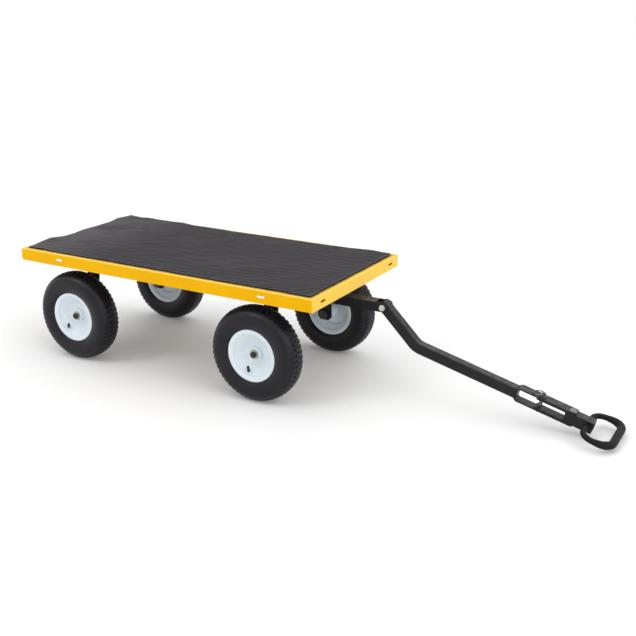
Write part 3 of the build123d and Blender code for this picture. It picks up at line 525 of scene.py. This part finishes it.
ribTurn = math.radians(matSet["ribTurn"])
ribSpan = matLength * math.sin(ribTurn) + matWidth * math.cos(ribTurn)
ribMesh = bakeTree("matRibs", ribTree, dict(matValues, **{
    "Pitch": matSet["ribPitch"], "Turn": ribTurn, "Rib Width": matSet["ribWidth"],
    "Flatten": matSet["ribFlat"], "Rib Step": matSet["ribStep"], "Count": int(ribSpan / matSet["ribPitch"]),
    "Reach": matSet["ribReach"] * math.hypot(matLength, matWidth)}))
ribMesh.shade_smooth()
matRibs = addPiece("matRibs", ribMesh, "chassis", "mat_rubber")
print("mat made,", len(sheetMesh.polygons), len(ribMesh.polygons))

# wheels: tyre with lugs, pressed rim, valve; an outline's points are along the axle and out from it
wheelSet = {
    "turns": {"front_right": 20.0, "rear_right": 41.0, "front_left": -20.0, "rear_left": 60.0},
    "seeds": {"front_right": 17, "rear_right": 16, "front_left": 16, "rear_left": 15},
    "steps": 156, "sideSteps": 30, "sharp": 30.0,
    "widest": 0.1235, "half": 0.0440, "round": 0.82, "lower": 0.046, "lip": 0.0915,
    "lugs": 54, "lugHigh": 0.0025, "lugLow": 0.0018, "lugLong": 0.0132, "lugTop": 0.0100,
    "lugSink": 0.0012, "lugEnd": 0.82, "lugSkew": 0.004, "lugVary": (0.94, 1.03), "stagger": 0.3,
    "shoulder": (76, 69, 62, 55, 48), "middle": (89, 84, 79),
}
tyreLow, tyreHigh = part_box("front_right_tyre")
tyreRadius = (tyreLow.z + tyreHigh.z) / 2  # the wheel stands on the floor
tyreCrown = tyreRadius - wheelSet["lugHigh"]


def tyreSpot(turn):
    high = tyreCrown - wheelSet["widest"] if turn > 0 else wheelSet["lower"]
    y = wheelSet["half"] * math.cos(turn) ** wheelSet["round"]
    r = wheelSet["widest"] + math.copysign(high * abs(math.sin(turn)) ** wheelSet["round"], turn)
    return y, r


lipDrop = (wheelSet["widest"] - wheelSet["lip"]) / wheelSet["lower"]
lipTurn = -math.asin(lipDrop ** (1 / wheelSet["round"]))
sideSteps = wheelSet["sideSteps"]
tyreSweep = [math.pi / 2 + (lipTurn - math.pi / 2) * k / sideSteps for k in range(1, sideSteps + 1)]
tyreBead = [(0.0352, 0.0902), (0.0338, 0.0880), (0.0333, 0.0850), (0.0333, 0.0790)]
tyreLine = [(0.0, tyreCrown)] + [tyreSpot(turn) for turn in tyreSweep] + tyreBead
tyreOutline = tyreLine + [(-y, r) for y, r in tyreLine[:0:-1]]


def lugMesh(name, turns, height, skew=0.0):
    path = [tyreSpot(math.radians(turn)) for turn in turns]
    last = len(path) - 1
    verts = []
    faces = []
    for k, (y, r) in enumerate(path):
        before = Vector(path[max(k - 1, 0)])
        after = Vector(path[min(k + 1, last)])
        along = (after - before).normalized()
        normal = Vector((-along.y, along.x))  # made to point out of the tyre
        if normal.y < 0 and abs(normal.y) > abs(normal.x):
            normal = -normal
        if normal.x * y < 0 and abs(normal.x) > abs(normal.y):
            normal = -normal
        end = wheelSet["lugEnd"] if k in (0, last) else 1.0
        shift = skew * (k / last - 0.5)
        low = Vector((y, r)) - normal * wheelSet["lugSink"]
        high = Vector((y, r)) + normal * height * end
        for half, spot in ((wheelSet["lugLong"] / 2, low), (wheelSet["lugTop"] / 2, high)):
            verts.append((shift - half, spot.x, spot.y))
            verts.append((shift + half, spot.x, spot.y))
    for a in range(0, 4 * last, 4):  # four corners at each point of the path
        b = a + 4
        faces += [(a + 2, a + 3, b + 3, b + 2), (a, a + 2, b + 2, b), (a + 1, b + 1, b + 3, a + 3)]
    e = 4 * last
    faces += [(0, 1, 3, 2), (e, e + 2, e + 3, e + 1)]
    return meshFrom(name, verts, faces, False)


lugTree, lugIn, lugOut = newTree("tyreTread", [
    ("Outer Lug", "Object", None), ("Inner Lug", "Object", None), ("Middle Lug", "Object", None),
    ("Count", "Int", 52), ("Material", "Material", None), ("Stagger", "Float", 0.0), ("Seed", "Int", 3)])
ring = geo(lugTree, "GeometryNodeMeshCircle", {"Vertices": lugIn["Count"], "Radius": 1.0})
ring = geo(lugTree, "GeometryNodeTransform", {"Geometry": ring, "Rotation": (math.pi / 2, 0.0, 0.0)})
outward = geo(lugTree, "GeometryNodeInputPosition")
aim = geo(lugTree, "FunctionNodeAlignRotationToVector", {"Vector": outward}, axis="Z", pivot_axis="Y")
least, most = wheelSet["lugVary"]
vary = put(lugTree, "FunctionNodeRandomValue", {2: least, 3: most, "Seed": lugIn["Seed"]}).outputs[1]
grow = vec(lugTree, X=vary, Y=1.0, Z=1.0)
keep = put(lugTree, "GeometryNodeCaptureAttribute", {"Geometry": ring})
keep.capture_items.new("ROTATION", "aim")
lugTree.links.new(aim, keep.inputs["aim"])
start = geo(lugTree, "GeometryNodeSetPosition", {
    "Geometry": keep.outputs["Geometry"], "Position": vec(lugTree)})  # all on the axle, aimed outward
allLugs = put(lugTree, "GeometryNodeJoinGeometry")
lugRows = (("Outer Lug", 0.0, 0.0), ("Inner Lug", math.pi, 0.5),
           ("Middle Lug", 0.0, 0.25), ("Middle Lug", math.pi, 0.75))
for label, side, part in lugRows:  # part is the row's share of one pitch
    shape = put(lugTree, "GeometryNodeObjectInfo", {"Object": lugIn[label]}).outputs["Geometry"]
    shape = geo(lugTree, "GeometryNodeTransform", {"Geometry": shape, "Rotation": (0.0, 0.0, side)})
    many = geo(lugTree, "GeometryNodeInstanceOnPoints", {
        "Points": start, "Instance": shape, "Rotation": keep.outputs["aim"], "Scale": grow})
    phase = sums(lugTree, "MULTIPLY", sums(lugTree, "DIVIDE", 2 * math.pi, lugIn["Count"]), part)
    phase = vec(lugTree, Y=sums(lugTree, "ADD", phase, lugIn["Stagger"]))
    many = geo(lugTree, "GeometryNodeTransform", {"Geometry": many, "Rotation": phase})
    lugTree.links.new(many, allLugs.inputs["Geometry"])
lugTree.links.new(lugIn["Geometry"], allLugs.inputs["Geometry"])
closeTree(lugTree, lugOut, allLugs.outputs[0], lugIn["Material"])

lugShapes = {
    "Outer Lug": lugMesh("outerLug", wheelSet["shoulder"], wheelSet["lugLow"]),
    "Inner Lug": lugMesh("innerLug", wheelSet["shoulder"], wheelSet["lugHigh"]),
    "Middle Lug": lugMesh("middleLug", wheelSet["middle"], wheelSet["lugHigh"], wheelSet["lugSkew"]),
}
lugHelpers = {label: bpy.data.objects.new(mesh.name, mesh) for label, mesh in lugShapes.items()}
for helper in lugHelpers.values():
    bpy.context.scene.collection.objects.link(helper)

rimSet = {"round": 0.006, "roundSteps": 4, "steps": 96, "sharp": 50.0}
rimFace = [
    (0.0340, 0.0892), (0.0364, 0.0886), (0.0370, 0.0862), (0.0363, 0.0815), (0.0352, 0.0762),
    (0.0318, 0.0728), (0.0248, 0.0722), (0.0205, 0.0680), (0.0120, 0.0560), (0.0045, 0.0500),
    (0.0022, 0.0440), (0.0020, 0.0212),
]
rimBack = [
    (-0.0010, 0.0212), (-0.0010, 0.0545), (-0.0135, 0.0555), (-0.0245, 0.0725), (-0.0318, 0.0728),
    (-0.0352, 0.0762), (-0.0363, 0.0815), (-0.0370, 0.0862), (-0.0364, 0.0886), (-0.0340, 0.0892),
]
rimSeat = [(0.0335, 0.0866), (0.0335, 0.0777), (0.0310, 0.0752), (0.0220, 0.0752), (0.0110, 0.0580)]
rimCorners = rimFace + rimBack + [(-y, r) for y, r in rimSeat] + rimSeat[::-1]
rimOutline = rounded(rimCorners, rimSet["round"], rimSet["roundSteps"])
valveSet = {
    "out": 0.0178, "radius": 0.0654, "slope": 57.4,
    "round": 0.0006, "roundSteps": 2, "steps": 20, "sharp": 40.0,
}
valveCorners = [
    (-0.0060, 0.0001), (-0.0060, 0.0049), (0.0070, 0.0052), (0.0095, 0.0044), (0.0165, 0.0040),
    (0.0170, 0.0047), (0.0250, 0.0045), (0.0262, 0.0030), (0.0262, 0.0001),
]
valveOutline = rounded(valveCorners, valveSet["round"], valveSet["roundSteps"])
valveLean = Matrix.Translation((0.0, valveSet["out"], -valveSet["radius"]))
valveLean = valveLean @ Matrix.Rotation(math.radians(valveSet["slope"]), 4, "X")

for corner, angle in wheelSet["turns"].items():
    low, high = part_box(corner + "_tyre")
    facing = 0.0 if corner.endswith("left") else math.pi
    place = Matrix.Translation((low + high) / 2) @ Matrix.Rotation(facing, 4, "Z")
    place = place @ Matrix.Rotation(math.radians(-angle), 4, "Y")
    body = corner + "_wheel"
    carcass = turnedMesh(corner + "Carcass", tyreOutline, wheelSet["steps"], wheelSet["sharp"])
    tyreMesh = bakeTree(corner + "Tyre", lugTree, dict(lugHelpers, **{
        "Count": wheelSet["lugs"], "Stagger": math.radians(angle) * wheelSet["stagger"],
        "Material": looks["tyre_rubber"], "Seed": wheelSet["seeds"][corner]}), carcass)
    tyreMesh.transform(place)
    addPiece(corner + "Tyre", tyreMesh, body, "tyre_rubber", [corner + "_tyre"])
    rimMesh = turnedMesh(corner + "Rim", rimOutline, rimSet["steps"], rimSet["sharp"])
    rimMesh.transform(place)
    addPiece(corner + "Rim", rimMesh, body, "white_enamel", [corner + "_rim"])
    valveMesh = turnedMesh(corner + "Valve", valveOutline, valveSet["steps"], valveSet["sharp"])
    valveMesh.transform(place @ valveLean)
    addPiece(corner + "Valve", valveMesh, body, "valve_rubber", [corner + "_valve_stem"])
for helper in lugHelpers.values():
    bpy.data.objects.remove(helper)
print("wheels made,", len(wheelSet["turns"]))

# hand loop sleeve, slot lips and weld beads: round tubes along a path
tubeSet = {"leastTaper": 0.00001, "grainScale": 180.0}
tubeTree, tubeIn, tubeOut = newTree("pathTube", [
    ("Radius", "Float", 0.01), ("Ripple", "Float", 0.0), ("Ripple Pitch", "Float", 0.01),
    ("End Share", "Float", 1.0), ("End Taper", "Float", 0.0), ("Step", "Float", 0.002),
    ("Sides", "Int", 20), ("Seed", "Float", 0.0), ("Material", "Material", None)])
path = geo(tubeTree, "GeometryNodeMeshToCurve", {"Mesh": tubeIn["Geometry"]})
path = geo(tubeTree, "GeometryNodeResampleCurve", {"Curve": path, "Length": tubeIn["Step"]}, mode="LENGTH")
run = put(tubeTree, "GeometryNodeSplineParameter").outputs["Length"]
total = geo(tubeTree, "GeometryNodeSplineLength")
toEnd = sums(tubeTree, "MINIMUM", run, sums(tubeTree, "SUBTRACT", total, run))
taper = sums(tubeTree, "MAXIMUM", tubeIn["End Taper"], tubeSet["leastTaper"])
taper = sums(tubeTree, "MINIMUM", sums(tubeTree, "DIVIDE", toEnd, taper), 1.0)
taper = ramp(tubeTree, taper, 0.0, 1.0, tubeIn["End Share"], 1.0)
turns = sums(tubeTree, "MULTIPLY", sums(tubeTree, "DIVIDE", run, tubeIn["Ripple Pitch"]), 2 * math.pi)
grain = put(tubeTree, "ShaderNodeTexNoise", {
    "Vector": vec(tubeTree, X=run, Z=tubeIn["Seed"]), "Scale": tubeSet["grainScale"],
    "Detail": 2.0}).outputs["Fac"]
wave = sums(tubeTree, "ADD", sums(tubeTree, "SINE", turns), sums(tubeTree, "SUBTRACT", grain, 0.5))
wave = sums(tubeTree, "MULTIPLY", wave, tubeIn["Ripple"])
swell = sums(tubeTree, "MULTIPLY", sums(tubeTree, "ADD", wave, 1.0), taper)
section = geo(tubeTree, "GeometryNodeCurvePrimitiveCircle", {
    "Resolution": tubeIn["Sides"], "Radius": tubeIn["Radius"]})
tube = geo(tubeTree, "GeometryNodeCurveToMesh", {
    "Curve": path, "Profile Curve": section, "Scale": swell, "Fill Caps": True})
closeTree(tubeTree, tubeOut, tube, tubeIn["Material"])


def pathMesh(name, paths, closed):
    points = []
    edges = []
    for path in paths:
        first = len(points)
        points += path
        edges += [(i, i + 1) for i in range(first, len(points) - 1)]
        if closed:
            edges.append((len(points) - 1, first))
    mesh = bpy.data.meshes.new(name)
    mesh.from_pydata(points, edges, [])
    mesh.update()
    return mesh


def bentPath(corners, radius, closed=False, steps=14):
    turns = list(zip(corners, corners[1:], corners[2:]))
    if closed:
        turns = list(zip(corners[-1:] + corners[:-1], corners, corners[1:] + corners[:1]))
    out = []
    for before, here, after in turns:
        back = (before - here).normalized()
        ahead = (after - here).normalized()
        half = back.angle(ahead) / 2
        reach = radius / math.tan(half)
        centre = here + (back + ahead).normalized() * radius / math.sin(half)
        start = here + back * reach - centre
        end = here + ahead * reach - centre
        whole = start.angle(end)
        for k in range(steps + 1):
            t = k / steps
            bend = (start * math.sin((1 - t) * whole) + end * math.sin(t * whole)) / math.sin(whole)
            out.append(centre + bend)
    return out if closed else [corners[0]] + out + [corners[-1]]


def tubeAlong(name, paths, values, closed=False):
    mesh = bakeTree(name, tubeTree, values, pathMesh(name + "Path", paths, closed))
    mesh.shade_smooth()
    return mesh


def named(entries, name):
    return next(entry for entry in entries if entry["name"] == name)


gripSet = {
    "rod": 0.009, "half": 0.092, "bend": 0.040, "start": 0.0405, "radius": 0.0125, "taper": 0.036,
    "endShare": 0.77, "ripple": 0.012, "pitch": 0.0105, "step": 0.0015, "sides": 28, "seed": 1.0,
}
loopLow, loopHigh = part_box("hand_loop")
gripLow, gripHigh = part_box("hand_grip")
eyeX = loopLow.x + gripSet["rod"]
eyeZ = loopHigh.z - gripSet["rod"]
frontX = gripHigh.x - gripSet["radius"]
frontZ = gripLow.z + gripSet["radius"]
loopLean = math.atan2(eyeZ - frontZ, frontX - eyeX)
loopReach = math.hypot(eyeZ - frontZ, frontX - eyeX)


def onLoop(u, v):
    return Vector((eyeX + u * math.cos(loopLean), v, eyeZ - u * math.sin(loopLean)))


gripPath = bentPath([
    onLoop(gripSet["start"], -gripSet["half"]), onLoop(loopReach, -gripSet["half"]),
    onLoop(loopReach, gripSet["half"]), onLoop(gripSet["start"], gripSet["half"])], gripSet["bend"])
gripMesh = tubeAlong("handGrip", [gripPath], {
    "Radius": gripSet["radius"], "Ripple": gripSet["ripple"], "Ripple Pitch": gripSet["pitch"],
    "End Share": gripSet["endShare"], "End Taper": gripSet["taper"], "Step": gripSet["step"],
    "Sides": gripSet["sides"], "Seed": gripSet["seed"], "Material": looks["grip_rubber"]})
addPiece("handGrip", gripMesh, "drawbar", "grip_rubber", ["hand_grip"])
print("grip made,", len(gripMesh.polygons))

lipSet = {"radius": 0.0009, "steps": 8, "step": 0.0012, "sides": 8}
slotDims = named(frame["record"]["mounts"], "right_side_slots")["dims"]  # millimetres
slotHalf = slotDims["slot_length_mm"] / 2000
slotRound = slotDims["hole_r_mm"] / 1000


def slotPath(centre, along):
    out = []
    for side in (1, -1):
        for k in range(lipSet["steps"] + 1):
            angle = math.pi * (k / lipSet["steps"] - 0.5)
            reach = side * (slotHalf - slotRound + slotRound * math.cos(angle))
            out.append(centre + along * reach + Vector((0.0, 0.0, side * slotRound * math.sin(angle))))
    return out


lipPaths = []
for opening in frame["record"]["physics"]["openings"]:
    if opening["name"].endswith("_slot"):
        low, high = (Vector(corner) for corner in opening["box_m"])
        centre = (low + high) / 2
        if "_side_" in opening["name"]:
            centre.y = deckHigh.y if centre.y > 0 else deckLow.y
            lipPaths.append(slotPath(centre, Vector((1.0, 0.0, 0.0))))
        else:
            centre.x = deckHigh.x if centre.x > deckX else deckLow.x
            lipPaths.append(slotPath(centre, Vector((0.0, 1.0, 0.0))))
lipMesh = tubeAlong("slotLips", lipPaths, {
    "Radius": lipSet["radius"], "Step": lipSet["step"], "Sides": lipSet["sides"],
    "Material": looks["yellow_coat"]}, True)
addPiece("slotLips", lipMesh, "chassis", "yellow_coat")

weldSet = {
    "radius": 0.0024, "corner": 0.005, "short": 0.006,
    "ripple": 0.13, "pitch": 0.0042, "step": 0.001, "sides": 10, "seed": 2.0,
}
weldValues = {
    "Radius": weldSet["radius"], "Ripple": weldSet["ripple"], "Ripple Pitch": weldSet["pitch"],
    "Step": weldSet["step"], "Sides": weldSet["sides"], "Seed": weldSet["seed"],
    "Material": looks["black_coat"]}
barLow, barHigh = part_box("drawbar_tube")
barHalf = barHigh.y
barUp = Vector(named(frame["record"]["behaviour"]["joints"], "lock_pin_pull")["axis"])
barSide = Vector((0.0, 1.0, 0.0))
barEnd = Vector((barHigh.x - barHalf * barUp.x, 0.0, barLow.z + barHalf * barUp.z))
square = [barEnd + barHalf * (y * barSide + z * barUp) for y, z in ((-1, -1), (1, -1), (1, 1), (-1, 1))]
clevisWeld = tubeAlong("clevisWeld", [bentPath(square, weldSet["corner"], True)], weldValues, True)
addPiece("clevisWeld", clevisWeld, "drawbar", "black_coat")
tongueLow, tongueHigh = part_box("tongue_tube")
webLow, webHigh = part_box("front_axle_frame")
seamEnds = (webLow.x + weldSet["short"], webHigh.x - weldSet["short"])
seams = [[Vector((x, y, tongueHigh.z)) for x in seamEnds] for y in (tongueLow.y, tongueHigh.y)]
tongueWeld = tubeAlong("tongueWeld", seams, weldValues)
addPiece("tongueWeld", tongueWeld, "steering", "black_coat")
print("lips and welds made,", len(lipPaths), "slots")

# floor, light and camera
stageSet = {
    "sky": 0.50, "skyColour": (0.97, 0.985, 1.0), "floorHalf": 30.0, "paper": 0.92, "glow": 0.10,
    "fleckScale": 1.3, "fleckRange": (0.3, 0.7), "fleckShare": 0.01, "fleckColour": (0.5, 0.5, 0.5),
    "floorRough": 0.9, "floorShine": 0.1, "lampColour": (1.0, 0.995, 0.985), "lampAway": 3.0,
}
white = (1.0, 1.0, 1.0)


def seenRays(tree):
    rays = put(tree, "ShaderNodeLightPath").outputs
    mirrored = sums(tree, "MAXIMUM", rays["Is Glossy Ray"], rays["Is Transmission Ray"])
    return sums(tree, "MAXIMUM", rays["Is Camera Ray"], mirrored)


half = stageSet["floorHalf"]
floorCorners = [(-half, -half, 0.0), (half, -half, 0.0), (half, half, 0.0), (-half, half, 0.0)]
floorMesh = meshFrom("floor", floorCorners, [(0, 1, 2, 3)], False)
floor = bpy.data.objects.new("floor", floorMesh)
bpy.context.scene.collection.objects.link(floor)
floorLook, floorNodes, floorShader, floorCoords = newMaterial("floorPaper")
fleck = noise(floorNodes, floorCoords, stageSet["fleckScale"], detail=3.0)
fleck = ramp(floorNodes, fleck, *stageSet["fleckRange"], 0.0, stageSet["fleckShare"])
seen = seenRays(floorNodes)
floorTint = mixColour(floorNodes, seen, [stageSet["paper"]] * 3, white)
floorTint = mixColour(floorNodes, fleck, floorTint, stageSet["fleckColour"])
floorNodes.links.new(floorTint, floorShader.inputs["Base Color"])
floorShader.inputs["Roughness"].default_value = stageSet["floorRough"]
floorShader.inputs["Specular IOR Level"].default_value = stageSet["floorShine"]
glow = geo(floorNodes, "ShaderNodeEmission", {"Color": (*white, 1.0), "Strength": 1.0})
glowShare = sums(floorNodes, "MULTIPLY", seen, stageSet["glow"])
floorFace = geo(floorNodes, "ShaderNodeMixShader", {0: glowShare, 1: floorShader.outputs[0], 2: glow})
floorNodes.links.new(floorFace, floorNodes.nodes["Material Output"].inputs["Surface"])
floorMesh.materials.append(floorLook)

world = bpy.data.worlds.new("studio")
bpy.context.scene.world = world
world.use_nodes = True
sky = world.node_tree
sky.nodes.clear()
backdrop = geo(sky, "ShaderNodeBackground", {"Color": (*white, 1.0), "Strength": 1.0})
skyTint = (*stageSet["skyColour"], 1.0)
fill = geo(sky, "ShaderNodeBackground", {"Color": skyTint, "Strength": stageSet["sky"]})
switch = geo(sky, "ShaderNodeMixShader", {0: seenRays(sky), 1: fill, 2: backdrop})
put(sky, "ShaderNodeOutputWorld", {"Surface": switch})

lamps = {
    "topLight": {"from": (0.10, 0.20, 1.0), "spread": 95.0, "power": 1.33},
    "frontLight": {"from": (1.0, -0.25, 0.55), "spread": 50.0, "power": 0.75},
    "sideLight": {"from": (-0.50, -0.70, 0.80), "spread": 24.0, "power": 0.53},
}
for name, lamp in lamps.items():
    light = bpy.data.lights.new(name, "SUN")
    light.energy = lamp["power"]
    light.angle = math.radians(lamp["spread"])
    light.color = stageSet["lampColour"]
    lightObject = bpy.data.objects.new(name, light)
    lightObject.rotation_euler = Vector(lamp["from"]).to_track_quat("Z", "Y").to_euler()
    lightObject.location = Vector(lamp["from"]) * stageSet["lampAway"]
    bpy.context.scene.collection.objects.link(lightObject)

cameraSet = {
    "ahead": 1.9341, "side": -2.592, "up": 1.2488, "around": 29.69, "tilt": 70.92, "roll": 0.13,
    "lens": 52.31, "sensor": 36.0,
}
cameraData = bpy.data.cameras.new("camera")
cameraData.lens = cameraSet["lens"]
cameraData.sensor_width = cameraSet["sensor"]
camera = bpy.data.objects.new("camera", cameraData)
around = Matrix.Rotation(math.radians(cameraSet["around"]), 4, "Z")
tilt = Matrix.Rotation(math.radians(cameraSet["tilt"]), 4, "X")
roll = Matrix.Rotation(math.radians(cameraSet["roll"]), 4, "Z")
place = Matrix.Translation((deckX + cameraSet["ahead"], cameraSet["side"], cameraSet["up"]))
camera.matrix_world = place @ around @ tilt @ roll
bpy.context.scene.collection.objects.link(camera)
bpy.context.scene.camera = camera
bpy.context.scene.view_settings.view_transform = "Standard"
print("stage made,", len(lamps), "lamps")
